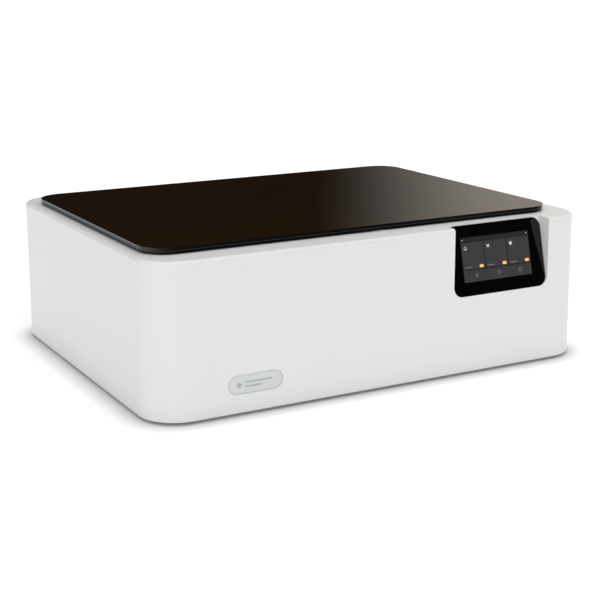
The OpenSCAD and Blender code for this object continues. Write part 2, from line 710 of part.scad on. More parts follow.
// Discs that the interlock senses, and the catch plate at the middle of the front edge
module lid_magnets() color("#5c6064") {
    for (x = sensor_x) rod_z(x, lid_y - lid_d / 2 + 19, [z_lid - 2.5, z_lid], 3.4);
    span([4, 20], [lid_y - lid_d / 2 + 2, lid_y - lid_d / 2 + 9], [z_lid - 0.7, z_lid]);
}

module hinge_bases() color("#3a3d40") for (x = hinge_x) {
    difference() {
        union() {
            for (side = [-27, 12.3]) {
                rod_x([x + side, x + side + 14.7], hinge_y, hinge_z, knuckle_r);
                span([x + side, x + side + 14.7], [hinge_y + 1, hinge_y + 4], [z_rim, hinge_z - 1]);
            }
            span([x - 27, x + 27], [hinge_y + 4, hinge_y + 17], [z_rim, z_rim + 2]);
        }
        rod_x([x - 28, x + 28], hinge_y, hinge_z, hinge_pin_r + 0.06);
    }
    for (side = [-18, 18]) rod_z(x + side, hinge_y + 10.5, [z_rim + 2, z_rim + 3.4], 3);
}

module hinge_leaves() color("#3a3d40") for (x = hinge_x) {
    rod_x([x - 12, x + 12], hinge_y, hinge_z, knuckle_r);
    rod_x([x - 26.5, x + 26.5], hinge_y, hinge_z, hinge_pin_r);
    span([x - 12, x + 12], [hinge_y - 28, hinge_y], [z_lid, z_pane]);
}

// ---- Gantry ----

module gantry_beam() color(alloy) {
    difference() {
        span([-252, 132], [beam_y - 12, beam_y + 12], [z_beam, z_beam + 24]);
        span([-253, 133], [beam_y + 9, beam_y + 13], [z_beam + 8, z_beam + 16]);
        for (z = [z_beam + 5, z_beam + 15]) span([-253, 133], [beam_y - 6, beam_y + 6], [z, z + 4]);
    }
    span([-250, 130], [beam_y - 18, beam_y - 12], [beam_z - 4.5, beam_z + 4.5]);
    rod_z(x_idler_x, beam_y, [z_beam + 24, x_belt_z + 9], 2);
    rod_z(x_idler_x, beam_y, [z_beam + 24, x_belt_z - 2.5], 4);
}

module gantry_ends() color(alloy) {
    span([-274, -228], [beam_y - 16, beam_y + 16], [z_end, z_beam]);
    span([-274, -250], [head_y - 13, beam_y - 16], [z_end, z_beam]);
    span([100, 170], [beam_y - 16, beam_y + 16], [z_end, z_beam]);
    for (x = rail_x) difference() {
        span([x - 13.5, x + 13.5], [beam_y - 17, beam_y + 17], [z_rail + 2, z_end]);
        span([x - 6.2, x + 6.2], [beam_y - 18, beam_y + 18], [z_rail, z_rail + 8.3]);
    }
    // clamps on the upper runs of the Y belts
    for (side = [-1, 1]) {
        x = side < 0 ? belt_x[0] : belt_x[1];
        leg = [x - side * 5.5 - 1, x - side * 5.5 + 1];
        span(leg, [beam_y - 8, beam_y + 8], [z_axis + 2, z_end]);
        foot = [min(leg[0], x - 3), max(leg[1], x + 3)];
        span(foot, [beam_y - 8, beam_y + 8], [z_axis + 2, z_axis + 5.6]);
    }
}

module x_motor() color(black) {
    translate([x_pulley_x, beam_y, z_beam]) linear_extrude(24) rounded(35, 35, 4);
    difference() {
        span([112, 169], [beam_y - 15, beam_y + 15], [z_beam + 24, z_beam + 26]);
        rod_z(x_pulley_x, beam_y, [z_beam + 23, z_beam + 27], 6);
    }
}

module x_drive_pulley() color(steel) {
    translate([x_pulley_x, beam_y, x_belt_z - 1.5]) pulley(9, 0);
    rod_z(x_pulley_x, beam_y, [z_beam + 24.3, x_belt_z - 1.5], 2.5);
}

module x_idler_pulley() color(steel)
    translate([x_idler_x, beam_y, x_belt_z - 1.5]) pulley(9, 2.05);

module x_belt() color(black) translate([x_idler_x, beam_y, x_belt_z])
    belt_loop(x_pulley_x - x_idler_x, pulley_r + 0.15, 1.35, 6);

// ---- Laser head ----

module at_head() translate([head_x, head_y, 0]) children();

module head_carriage() color(alloy) at_head() {
    difference() {
        span([-20, 20], [17, 27.5], [beam_z - 10, beam_z + 10]);
        span([-21, 21], [23.8, 28], [beam_z - 4.7, beam_z + 4.7]);
    }
    span([-26, 26], [13, 17], [132, 178]);
    span([-8, 8], [17, 39], [175.5, 178]);
    span([-8, 8], [36.9, 39], [x_belt_z, 175.5]);
    span([-8, 8], [31.6, 33.6], [x_belt_z, 175.5]);
}

// The mirror box, the sleeve under it, and the last mirror inside
module head_housing() color(white) at_head() {
    difference() {
        union() {
            span([-22, 22], [-14, 13], [132, 173]);
            rod_z(0, 0, sleeve_z, lens_r + 4);
        }
        span([-19.5, 19.5], [-11.5, 10.5], [134.5, 170.5]);
        rod_z(0, 0, [sleeve_z[0] - 1, 139], lens_r + 0.06);
        rod_x([-23, -18], 0, beam_z, 5);
        rod_x([10, 16], 0, z_knob, 2.05);
    }
    translate([0, 0, beam_z]) rotate([0, 45, 0]) translate([-3, 0, 0]) rotate([0, 90, 0])
        cylinder(h = 3, r = 9.5, $fn = 48);
    translate([3, -1.5, beam_z + 3]) rotate([0, 45, 0]) span([-0.5, 3], [-8, 8], [-9, 9]);
}

module camera_module() color(black) at_head() {
    span([22, 40], [-9, 9], [140, 164]);
    rod_z(31, 0, [133, 140], 6);
    rod_z(31, 0, [130, 133], 4);
}

module lens_tube() color("#1d3f78") at_head() {
    difference() {
        union() {
            rod_z(0, 0, [z_tip + 12, 134], lens_r);
            translate([0, 0, z_tip]) cylinder(h = 12, r1 = 3.6, r2 = lens_r, $fn = 48);
            rod_y(0, [10, 20], z_gauge, 2.6);
            rod_y(0, [-20, -10], z_gauge, 1.5);
        }
        rod_z(0, 0, [108, 135], lens_r - 2.5);
        rod_z(0, 0, [z_tip - 1, 109], 2);
    }
    // the focusing lens
    rod_z(0, 0, [110, 113], lens_r - 2.6);
}

module focus_gauge() color("#e07b1a") at_head() difference() {
    translate([0, -16.4, 0]) rotate([90, 0, 0]) linear_extrude(2.6) {
        translate([0, z_gauge]) circle(4.5);
        translate([-3, z_gauge]) square([6, 27]);
    }
    rod_y(0, [-20, -16], z_gauge, 1.55);
}

module focus_knob() color(black) at_head() {
    rod_x([15.6, 22], 0, z_knob, 6);
    rod_x([11.4, 15.6], 0, z_knob, 1.95);
}

machine() outer_housing();
machine() base_plate();
machine() rubber_feet();
machine() panel_screws();
machine() rear_panel();
machine() chamber_liner();
machine() rear_bulkhead();
machine() electronics_bulkhead();
machine() tube_bay_cover();
machine() electronics_cover();
machine() crumb_tray();
machine() bed_frame();
machine() honeycomb_core();
machine() y_rails();
machine() pulley_brackets();
machine() y_belts();
machine() y_motor();
machine() laser_tube();
machine() tube_clamps();
machine() mirror_1();
machine() water_tank();
machine() water_pump();
machine() radiator();
machine() water_hoses();
machine() hv_lead();
machine() exhaust_collar();
machine() exhaust_fan_frame();
machine() power_inlet();
machine() data_ports();
machine() hv_power_supply();
machine() low_voltage_supply();
machine() mainboard();
machine() display_glass();
machine() display_module();
machine() badge();
machine() hinge_bases();
machine() interlock_sensors();
machine() lid_frame();
machine() lid_pane();
machine() hinge_leaves();
machine() lid_magnets();
machine() gantry_beam();
machine() gantry_ends();
machine() x_motor();
machine() x_belt();
machine() mirror_2();
machine() head_carriage();
machine() head_housing();
machine() camera_module();
machine() lens_tube();
machine() focus_gauge();
machine() focus_knob();
machine() x_drive_pulley();
machine() x_idler_pulley();
machine() y_drive_shaft();
machine() y_idlers();
machine() exhaust_impeller();
machine() radiator_fan();
machine() power_rocker();
machine() fill_cap();
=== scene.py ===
"""Looks for a desktop laser cutter: a low white case, a tinted hinged lid and a leaning touch panel.

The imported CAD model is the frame. Every place below is worked out from it, in metres.
"""
import math

import bmesh
import bpy
from mathutils import Matrix, Vector


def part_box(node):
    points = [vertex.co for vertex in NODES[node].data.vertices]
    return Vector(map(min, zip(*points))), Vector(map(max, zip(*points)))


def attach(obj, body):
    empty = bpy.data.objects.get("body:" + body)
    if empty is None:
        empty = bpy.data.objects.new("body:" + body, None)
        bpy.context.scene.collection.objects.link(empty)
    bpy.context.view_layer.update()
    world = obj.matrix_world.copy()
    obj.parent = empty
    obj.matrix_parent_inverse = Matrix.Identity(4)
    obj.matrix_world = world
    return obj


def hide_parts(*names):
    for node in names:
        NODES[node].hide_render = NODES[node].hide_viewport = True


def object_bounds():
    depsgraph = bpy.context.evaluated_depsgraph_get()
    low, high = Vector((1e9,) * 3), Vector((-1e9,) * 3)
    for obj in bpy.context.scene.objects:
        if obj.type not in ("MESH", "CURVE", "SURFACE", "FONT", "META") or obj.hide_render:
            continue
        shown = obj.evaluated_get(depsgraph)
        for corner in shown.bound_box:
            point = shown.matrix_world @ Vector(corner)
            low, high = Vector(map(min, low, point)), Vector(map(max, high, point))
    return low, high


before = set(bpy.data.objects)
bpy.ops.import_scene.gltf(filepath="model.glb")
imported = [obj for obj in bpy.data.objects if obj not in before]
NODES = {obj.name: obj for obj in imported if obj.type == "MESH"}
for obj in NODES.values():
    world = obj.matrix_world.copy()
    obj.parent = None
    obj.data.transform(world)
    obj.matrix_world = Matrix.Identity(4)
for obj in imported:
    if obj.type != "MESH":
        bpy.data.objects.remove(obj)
CAD_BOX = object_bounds()
MM = 0.001

# The camera, measured from the middle of the case's footprint, at its lower edge
CAMERA_OFFSET = Vector((-0.8187, -1.5103, 0.4961))
CAMERA_YAW = 28.8
CAMERA_PITCH = 12.5
CAMERA_ROLL = -0.2
CAMERA_LENS = 79.2
CAMERA_SHIFT = -0.075


# ---- Shapes ----

def rounded_outline(width, depth, radius, steps):
    """Points of a rounded rectangle about the origin, anticlockwise."""
    points = []
    for corner in range(4):
        x = (1, -1, -1, 1)[corner] * (width / 2 - radius)
        y = (1, 1, -1, -1)[corner] * (depth / 2 - radius)
        for step in range(steps + 1):
            angle = math.radians(90 * corner + 90 * step / steps)
            points.append((x + radius * math.cos(angle), y + radius * math.sin(angle)))
    return points


def loft(shape, rings, closed=False, slot=0):
    """Joins rings of points into walls. Its ends are capped, or it closes on itself."""
    rows = [[shape.verts.new(point) for point in ring] for ring in rings]
    count = len(rows[0])
    pairs = list(zip(rows, rows[1:] + rows[:1] if closed else rows[1:]))
    faces = []
    for lower, upper in pairs:
        for i in range(count):
            j = (i + 1) % count
            faces.append(shape.faces.new((lower[i], lower[j], upper[j], upper[i])))
    if not closed:
        faces.append(shape.faces.new(rows[0][::-1]))
        faces.append(shape.faces.new(rows[-1]))
    for face in faces:
        face.material_index = slot
    return [vert for row in rows for vert in row]


def plate(shape, width, depth, radius, low, high, edge=0.0, slot=0, steps=10, at=(0, 0)):
    """A rounded plate between two heights, with its upper edge rounded over."""
    rings = []
    levels = [(0.0, low)]
    for step in range(5 if edge else 1):
        angle = math.radians(90 * step / 4)
        levels.append((edge * (1 - math.cos(angle)), high - edge * (1 - math.sin(angle))))
    for inset, height in levels:
        outline = rounded_outline(width - 2 * inset, depth - 2 * inset, max(radius - inset, 1e-5), steps)
        rings.append([(at[0] + x, at[1] + y, height) for x, y in outline])
    return loft(shape, rings, slot=slot)


def block(shape, low, high):
    """A box between two corners."""
    corners = [(low[0], low[1]), (high[0], low[1]), (high[0], high[1]), (low[0], high[1])]
    return loft(shape, [[(x, y, z) for x, y in corners] for z in (low[2], high[2])])


def turned(shape, profile, sides=48, slot=0):
    """Turns a closed profile of (radius, height) points about Z."""
    rings = []
    for side in range(sides):
        angle = 2 * math.pi * side / sides
        rings.append([(r * math.cos(angle), r * math.sin(angle), z) for r, z in profile])
    return loft(shape, rings, closed=True, slot=slot)


def circle(radius, height=0.0, sides=24):
    """Points of a circle about Z, anticlockwise."""
    angles = [2 * math.pi * i / sides for i in range(sides)]
    return [(radius * math.cos(angle), radius * math.sin(angle), height) for angle in angles]


def bar(shape, start, end, radius, sides):
    """A round bar from one point to another."""
    start, end = Vector(start), Vector(end)
    turn = (end - start).to_track_quat("Z", "Y").to_matrix()
    rings = [[point + turn @ Vector(spot) for spot in circle(radius, sides=sides)] for point in (start, end)]
    return loft(shape, rings)


def ring_about(shape, centre, width, depth, radius, base, section, steps=12):
    """A closed ring along a rounded rectangle. section has its (inset, height) points in millimetres."""
    rings = []
    for inset, level in section:
        inset = inset * MM
        outline = rounded_outline(width - 2 * inset, depth - 2 * inset, radius - inset, steps)
        rings.append([(centre[0] + x, centre[1] + y, base + level * MM) for x, y in outline])
    return loft(shape, rings, closed=True)


def move(shape, verts, matrix):
    """Moves some points of a shape."""
    bmesh.ops.transform(shape, matrix=matrix, verts=verts)


def piece(name, shape, body, materials, smooth=35, replaces=()):
    """Turns a shape into a named piece that rides on a body."""
    bmesh.ops.recalc_face_normals(shape, faces=shape.faces)
    mesh = bpy.data.meshes.new(name)
    shape.to_mesh(mesh)
    shape.free()
    for face in mesh.polygons:
        face.use_smooth = True
    mesh.set_sharp_from_angle(angle=math.radians(smooth))
    for finish in materials:
        mesh.materials.append(finish)
    made = bpy.data.objects.new(name, mesh)
    bpy.context.scene.collection.objects.link(made)
    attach(made, body)
    if replaces:
        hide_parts(*replaces)
    return made


def middle(node):
    """The middle of a CAD node's box."""
    low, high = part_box(node)
    return (low + high) / 2


def separate_boxes(node):
    """The boxes of the separate solids in a CAD node, in a steady order."""
    mesh = NODES[node].data
    key = [tuple(round(c, 5) for c in vert.co) for vert in mesh.vertices]
    parent = {}

    def root(k):
        while parent.setdefault(k, k) != k:
            parent[k] = parent[parent[k]]
            k = parent[k]
        return k

    for face in mesh.polygons:
        first = root(key[face.vertices[0]])
        for index in face.vertices[1:]:
            parent[root(key[index])] = first
    groups = {}
    for k in set(key):
        groups.setdefault(root(k), []).append(k)
    boxes = []
    for points in groups.values():
        low = Vector([min(p[i] for p in points) for i in range(3)])
        high = Vector([max(p[i] for p in points) for i in range(3)])
        boxes.append((low, high))
    return sorted(boxes, key=lambda pair: tuple(round(c, 4) for c in pair[0]))


def face_frame(node, facing):
    """A matrix whose Z is the normal of the node's flat face that looks along facing, with Y up it."""
    facing = Vector(facing).normalized()
    faces = [f for f in NODES[node].data.polygons if f.normal.dot(facing) > 0.95]
    normal = sum((f.normal * f.area for f in faces), Vector()).normalized()
    across = Vector((0, 0, 1)).cross(normal).normalized()
    up = normal.cross(across)
    verts = NODES[node].data.vertices
    points = [verts[i].co for f in faces for i in f.vertices]
    spans = []
    for axis in (across, up, normal):
        values = [p.dot(axis) for p in points]
        spans.append((min(values), max(values)))
    centre = across * sum(spans[0]) / 2 + up * sum(spans[1]) / 2 + normal * spans[2][1]
    turn = Matrix((across, up, normal)).transposed().to_4x4()
    return Matrix.Translation(centre) @ turn


# ---- Materials ----

# Features per metre of the rubbed spots, gloss patches, screen cells and copper tracks
WEAR_SPOTS = 700
GLOSS_SPOTS = 60
SCREEN_CELLS = 900
BOARD_TRACKS = 220
WEAR_LIGHTENS = 0.25
# Near-black painted shade for the upright faces of the lid's pane and frame
PAINTED_SHADE_BLACK = (0.004, 0.0036, 0.0034, 1)


def noise(nodes, links, place, scale, detail, stretch=None):
    """A noise texture at so many features per metre, which may be stretched."""
    if stretch:
        mapping = nodes.new("ShaderNodeMapping")
        mapping.inputs["Scale"].default_value = stretch
        links.new(place, mapping.inputs["Vector"])
        place = mapping.outputs["Vector"]
    texture = nodes.new("ShaderNodeTexNoise")
    texture.inputs["Scale"].default_value = scale
    texture.inputs["Detail"].default_value = detail
    links.new(place, texture.inputs["Vector"])
    return texture.outputs["Fac"]


def map_range(nodes, links, value, start, end, low=0.0, high=1.0, smooth=False):
    """Maps a value between start and end to one between low and high."""
    node = nodes.new("ShaderNodeMapRange")
    node.interpolation_type = "SMOOTHSTEP" if smooth else "LINEAR"
    for socket, number in (("From Min", start), ("From Max", end), ("To Min", low), ("To Max", high)):
        node.inputs[socket].default_value = number
    links.new(value, node.inputs["Value"])
    return node.outputs["Result"]


def mix_colours(nodes, links, share, first, second, blend="MIX"):
    """Mixes two colours. The share and both colours are plain values or outputs of other nodes."""
    node = nodes.new("ShaderNodeMix")
    node.data_type = "RGBA"
    node.blend_type = blend
    for socket, value in (("Factor", share), ("A", first), ("B", second)):
        if isinstance(value, bpy.types.NodeSocket):
            links.new(value, node.inputs[socket])
        else:
            node.inputs[socket].default_value = value
    return node.outputs["Result"]


def surface(name, colour, roughness, metallic=0.0, grain=(2500, 0.02), patches=(9, 0.03), spread=0.05,
            stretch=None, wear=0.0, **sockets):
    """A surface whose colour and gloss vary a little, over a fine grain.

    grain and patches give features per metre, then the grain's height in millimetres and the
    share by which the colour changes. wear lightens the finest spots, as rubbing does.
    """
    made = bpy.data.materials.new(name)
    made.use_nodes = True
    nodes, links = made.node_tree.nodes, made.node_tree.links
    shader = nodes["Principled BSDF"]
    place = nodes.new("ShaderNodeTexCoord").outputs["Object"]
    darker = (*[c * (1 - patches[1]) for c in colour], 1)
    lighter = (*[min(1, c * (1 + patches[1])) for c in colour], 1)
    tint = mix_colours(nodes, links, noise(nodes, links, place, patches[0], 4.0), darker, lighter)
    if wear:
        spots = noise(nodes, links, place, WEAR_SPOTS, 5.0, stretch)
        worn = map_range(nodes, links, spots, 0.60, 0.80, 0.0, wear)
        rubbed = (*[min(1, WEAR_LIGHTENS + c) for c in colour], 1)
        tint = mix_colours(nodes, links, worn, tint, rubbed)
    links.new(tint, shader.inputs["Base Color"])
    streaks = stretch and tuple(0.3 * s for s in stretch)
    gloss = map_range(nodes, links, noise(nodes, links, place, GLOSS_SPOTS, 4.0, streaks), 0.3, 0.7,
                      max(0.01, roughness - spread), roughness + spread)
    links.new(gloss, shader.inputs["Roughness"])
    bump = nodes.new("ShaderNodeBump")
    bump.inputs["Distance"].default_value = grain[1] * MM
    bump.inputs["Strength"].default_value = 1.0
    links.new(noise(nodes, links, place, grain[0], 2.0, stretch), bump.inputs["Height"])
    links.new(bump.outputs["Normal"], shader.inputs["Normal"])
    shader.inputs["Metallic"].default_value = metallic
    for socket, value in sockets.items():
        shader.inputs[socket.replace("_", " ")].default_value = value
    made.diffuse_color = (*colour, 1)
    return made


def screen_surface(name, colour, glow=1.0):
    """A lit area of the display behind its glass, with the fine grid of its picture elements."""
    made = surface(name, [0.3 * c for c in colour], 0.06, grain=(400, 0.001), patches=(30, 0.06))
    nodes, links = made.node_tree.nodes, made.node_tree.links
    place = nodes.new("ShaderNodeTexCoord").outputs["Object"]
    cells = noise(nodes, links, place, SCREEN_CELLS, 2.0)
    dim, bright = ((*[share * c for c in colour], 1) for share in (0.92, 1.05))
    shader = nodes["Principled BSDF"]
    links.new(mix_colours(nodes, links, cells, dim, bright), shader.inputs["Emission Color"])
    shader.inputs["Emission Strength"].default_value = glow
    shader.inputs["Coat Weight"].default_value = 0.6
    shader.inputs["Coat Roughness"].default_value = 0.02
    return made


def paint_shade_on_upright_faces(made, dull, bright):
    """Paints shade on the upright faces of a sheet by mixing their colour towards black, and dulls those
    that look forwards more than the rest.
    """
    nodes, links = made.node_tree.nodes, made.node_tree.links
    split = nodes.new("ShaderNodeSeparateXYZ")
    links.new(nodes.new("ShaderNodeTexCoord").outputs["Normal"], split.inputs["Vector"])
    shader = nodes["Principled BSDF"]
    level = map_range(nodes, links, split.outputs["Y"], -1.0, -0.6, dull, bright)
    links.new(level, shader.inputs["Specular IOR Level"])
    flatness = nodes.new("ShaderNodeMath")
    flatness.operation = "ABSOLUTE"
    links.new(split.outputs["Z"], flatness.inputs[0])
    body_colour = shader.inputs["Base Color"].links[0].from_socket
    # Painted shade: upright faces take a near-black colour, flat faces keep their own colour
    shade = mix_colours(nodes, links, flatness.outputs["Value"], PAINTED_SHADE_BLACK, body_colour)
    links.new(shade, shader.inputs["Base Color"])


def board_surface():
    """Green solder mask over a maze of copper tracks."""
    made = surface("circuit_board", (0.015, 0.13, 0.05), 0.35, grain=(900, 0.03), patches=(60, 0.15))
    nodes, links = made.node_tree.nodes, made.node_tree.links
    tracks = nodes.new("ShaderNodeTexVoronoi")
    tracks.distance = "CHEBYCHEV"
    tracks.inputs["Scale"].default_value = BOARD_TRACKS
    links.new(nodes.new("ShaderNodeTexCoord").outputs["Object"], tracks.inputs["Vector"])
    edge = map_range(nodes, links, tracks.outputs["Distance"], 0.32, 0.36)
    shader = nodes["Principled BSDF"]
    mask = shader.inputs["Base Color"].links[0].from_socket
    links.new(mix_colours(nodes, links, edge, mask, (0.05, 0.27, 0.10, 1)), shader.inputs["Base Color"])
    return made


WHITE = surface("white_plastic", (0.775, 0.78, 0.775), 0.36, grain=(1900, 0.012), patches=(5, 0.012),
                spread=0.04, Coat_Weight=0.10, Coat_Roughness=0.25)
HEAD_WHITE = surface("head_plastic", (0.76, 0.765, 0.77), 0.34, grain=(2400, 0.012), patches=(20, 0.02))
PANE = surface("tinted_pane", (0.017, 0.0085, 0.003), 0.035, grain=(25, 0.03), patches=(8, 0.10),
               spread=0.015, IOR=1.52, Alpha=0.975)
LID_BLACK = surface("lid_black", (0.011, 0.011, 0.012), 0.34, grain=(2600, 0.006), patches=(30, 0.08),
                    spread=0.02)
EDGE_GREY = surface("lid_edge", (0.075, 0.078, 0.082), 0.30, grain=(2600, 0.01), patches=(30, 0.10))
BLACK = surface("black_plastic", (0.018, 0.018, 0.019), 0.45, grain=(2200, 0.03), patches=(40, 0.10),
                spread=0.03)
FAN_BLACK = surface("fan_plastic", (0.022, 0.023, 0.025), 0.38, grain=(1800, 0.02), patches=(50, 0.20))
GLASS_BLACK = surface("panel_glass", (0.0012, 0.0012, 0.0013), 0.04, grain=(30, 0.01), patches=(12, 0.20),
                      spread=0.015, IOR=1.45)
BADGE_GREY = surface("badge_grey", (0.66, 0.675, 0.675), 0.33, grain=(2500, 0.01), patches=(60, 0.03))
BADGE_MARK = surface("badge_mark", (0.42, 0.445, 0.45), 0.30, grain=(2500, 0.01), patches=(80, 0.05))
RUBBER = surface("rubber", (0.020, 0.020, 0.021), 0.78, grain=(1500, 0.03), patches=(60, 0.12))
STEEL = surface("sheet_steel", (0.52, 0.53, 0.55), 0.36, 1.0, grain=(900, 0.006), patches=(7, 0.05),
                spread=0.10, stretch=(0.02, 1.0, 1.0), wear=0.10)
LINER = surface("liner_coat", (0.46, 0.47, 0.48), 0.48, grain=(700, 0.04), patches=(10, 0.03))
COVER_GREY = surface("powder_coat", (0.60, 0.61, 0.62), 0.52, grain=(700, 0.05), patches=(12, 0.03))
ALLOY = surface("anodised_alloy", (0.50, 0.51, 0.53), 0.42, 0.85, grain=(2600, 0.003), patches=(15, 0.03),
                spread=0.03)
RAIL = surface("ground_steel", (0.60, 0.61, 0.63), 0.27, 1.0, grain=(1300, 0.001), patches=(20, 0.03),
               spread=0.03, stretch=(1.0, 0.01, 1.0))
BLACK_ALLOY = surface("black_alloy", (0.028, 0.028, 0.030), 0.36, 0.7, grain=(2600, 0.015),
                      patches=(40, 0.15), wear=0.04)
BLUE_ALLOY = surface("blue_alloy", (0.02, 0.075, 0.30), 0.28, 0.9, grain=(900, 0.006), patches=(60, 0.08),
                     stretch=(1.0, 1.0, 0.05))
SCREW_STEEL = surface("screw_steel", (0.22, 0.23, 0.25), 0.32, 1.0, grain=(1800, 0.02), patches=(200, 0.15))
BELT = surface("belt_rubber", (0.014, 0.014, 0.014), 0.62, grain=(3000, 0.03), patches=(120, 0.25))
TUBE_GLASS = surface("tube_glass", (0.86, 0.93, 0.95), 0.03, grain=(20, 0.02), patches=(10, 0.02),
                     spread=0.01, Transmission_Weight=1.0, IOR=1.46)
TANK = surface("tank_plastic", (0.70, 0.78, 0.80), 0.42, grain=(900, 0.03), patches=(20, 0.05),
               Subsurface_Weight=0.2)
HOSE = surface("hose_silicone", (0.48, 0.60, 0.64), 0.30, grain=(1200, 0.02), patches=(60, 0.08),
               Transmission_Weight=0.35)
LEAD = surface("lead_insulation", (0.42, 0.025, 0.02), 0.42, grain=(1200, 0.03), patches=(60, 0.10))
ROCKER = surface("rocker_red", (0.36, 0.012, 0.012), 0.22, grain=(900, 0.004), patches=(90, 0.08))
GAUGE = surface("gauge_orange", (0.72, 0.20, 0.02), 0.42, grain=(1900, 0.03), patches=(90, 0.06))
LED = screen_surface("led_light", (0.90, 0.95, 1.0), 1.6)
SCREEN_GAP = screen_surface("screen_gap", (0.005, 0.005, 0.006))
SCREEN_BACK = screen_surface("screen_back", (0.019, 0.019, 0.020))
SCREEN_CARD = screen_surface("screen_card", (0.038, 0.038, 0.040))
SCREEN_MARK = screen_surface("screen_mark", (0.52, 0.53, 0.55))
SCREEN_FAINT = screen_surface("screen_faint", (0.17, 0.17, 0.18))
SCREEN_ORANGE = screen_surface("screen_orange", (0.88, 0.47, 0.14))
BOARD = board_surface()
# Painted shade on the upright faces of the lid's pane and frame
paint_shade_on_upright_faces(PANE, 0.04, 0.5)
paint_shade_on_upright_faces(LID_BLACK, 0.04, 0.4)

PAINT = {
    WHITE: ["outer_housing"],
    HEAD_WHITE: ["head_housing"],
    PANE: ["lid_pane"],
    LID_BLACK: ["lid_frame"],
    BLACK: ["tube_clamps", "water_pump", "exhaust_collar", "exhaust_fan_frame", "power_inlet",
            "display_module", "interlock_sensors", "camera_module", "fill_cap", "radiator"],
    GLASS_BLACK: ["display_glass"],
    RUBBER: ["rubber_feet"],
    STEEL: ["base_plate", "crumb_tray", "data_ports", "hv_power_supply", "low_voltage_supply"],
    LINER: ["chamber_liner", "rear_bulkhead", "electronics_bulkhead"],
    COVER_GREY: ["rear_panel", "tube_bay_cover", "electronics_cover"],
    ALLOY: ["bed_frame", "pulley_brackets", "mirror_1", "mirror_2", "gantry_beam", "gantry_ends",
            "head_carriage"],
    RAIL: ["y_rails", "y_drive_shaft", "y_idlers", "x_drive_pulley", "x_idler_pulley", "lid_magnets"],
    BLACK_ALLOY: ["y_motor", "x_motor", "hinge_bases", "hinge_leaves", "focus_knob"],
    BLUE_ALLOY: ["lens_tube"],
    TUBE_GLASS: ["laser_tube"],
    TANK: ["water_tank"],
    HOSE: ["water_hoses"],
    LEAD: ["hv_lead"],
    ROCKER: ["power_rocker"],
    GAUGE: ["focus_gauge"],
    BOARD: ["mainboard"],
}


def paint_nodes():
    """Gives the CAD nodes that show their finish."""
    for made, names in PAINT.items():
        for name in names:
            slots = NODES[name].data.materials
            slots.clear()
            slots.append(made)


# ---- Touch panel ----

def touch_screen():
    """The lit picture on the panel's glass: three cards, a status line and a bar of small signs."""
    shape = bmesh.new()
    left, right, low, high = -53.5 * MM, 50.5 * MM, -27 * MM, 28 * MM
    cards_low, cards_high = high - 39.8 * MM, high - 6.7 * MM
    skin = 0.10 * MM
    half_gap = 0.45 * MM
    gap, card, mark, faint, orange, back = range(6)

    def panel(u0, u1, v0, v1, level, slot, radius=0.4 * MM):
        plate(shape, u1 - u0, v1 - v0, radius, 0, skin * (1 + 0.4 * level), slot=slot, steps=4,
              at=((u0 + u1) / 2, (v0 + v1) / 2))

    def ring(u, v, radius, width, slot, sides=20):
        section = [(radius, 0), (radius, 2 * skin), (radius - width, 2 * skin), (radius - width, 0)]
        move(shape, turned(shape, section, sides, slot), Matrix.Translation((u, v, 0)))

    def stroke(u, v, width, length, angle, slot, radius=0.2 * MM, lift=2 * skin, steps=3):
        verts = plate(shape, width, length, radius, 0, lift, slot=slot, steps=steps)
        move(shape, verts, Matrix.Translation((u, v, 0)) @ Matrix.Rotation(angle, 4, "Z"))

    def house_sign(u, v):
        ring(u, v, 2.5 * MM, 0.6 * MM, mark, sides=5)
        panel(u - 0.5 * MM, u + 0.5 * MM, v - 1.7 * MM, v - 0.2 * MM, 2, mark, 0.2 * MM)

    def leaf_sign(u, v):
        for angle, offset in ((0.55, -0.5 * MM), (-0.55, 0.9 * MM)):
            stroke(u + offset, v, 1.5 * MM, 4.4 * MM, angle, mark, 0.7 * MM, steps=4)

    def gear_sign(u, v):
        ring(u, v, 1.7 * MM, 0.8 * MM, mark)
        for turn in range(4):
            stroke(u, v, 5.2 * MM, 0.8 * MM, turn * math.pi / 4, mark, lift=1.6 * skin)

    panel(left, right, low, high, 0, gap, 0.8 * MM)
    panel(left, right, cards_high, high, 1, back, 0.8 * MM)
    edges = [left, -19.5 * MM, 15.5 * MM, right]
    for column, sign in enumerate((house_sign, leaf_sign, gear_sign)):
        u0, u1 = edges[column] + half_gap, edges[column + 1] - half_gap
        panel(u0, u1, cards_low, cards_high, 1, card)
        panel(u0 + 3 * MM, u0 + 13 * MM, cards_low + 2.6 * MM, cards_low + 3.5 * MM, 2, faint)
        panel(u1 - 8.5 * MM, u1 - 2.2 * MM, cards_low + 1.4 * MM, cards_low + 5.2 * MM, 2, orange, 1.8 * MM)
        sign(u0 + 6 * MM, cards_high - 6.5 * MM)
    panel(left + half_gap, right - half_gap, low, cards_low - 2 * half_gap, 1, card)
    sign_v = (low + cards_low) / 2
    for angle in (0.8, -0.8):
        stroke(-34 * MM, sign_v, 5.4 * MM, 0.6 * MM, angle, faint)
    for u, sides in ((0, 6), (33 * MM, 24)):
        ring(u, sign_v, 2.5 * MM, 0.55 * MM, faint, sides)
    for u in (left + 3 * MM, right - 3 * MM):
        panel(u - 0.6 * MM, u + 0.6 * MM, high - 3.6 * MM, high - 2.4 * MM, 2, mark, 0.5 * MM)
    shape.transform(face_frame("display_glass", (0, -1, 0.2)))
    piece("touch_screen", shape, "housing",
          [SCREEN_GAP, SCREEN_CARD, SCREEN_MARK, SCREEN_FAINT, SCREEN_ORANGE, SCREEN_BACK])


# ---- Case ----

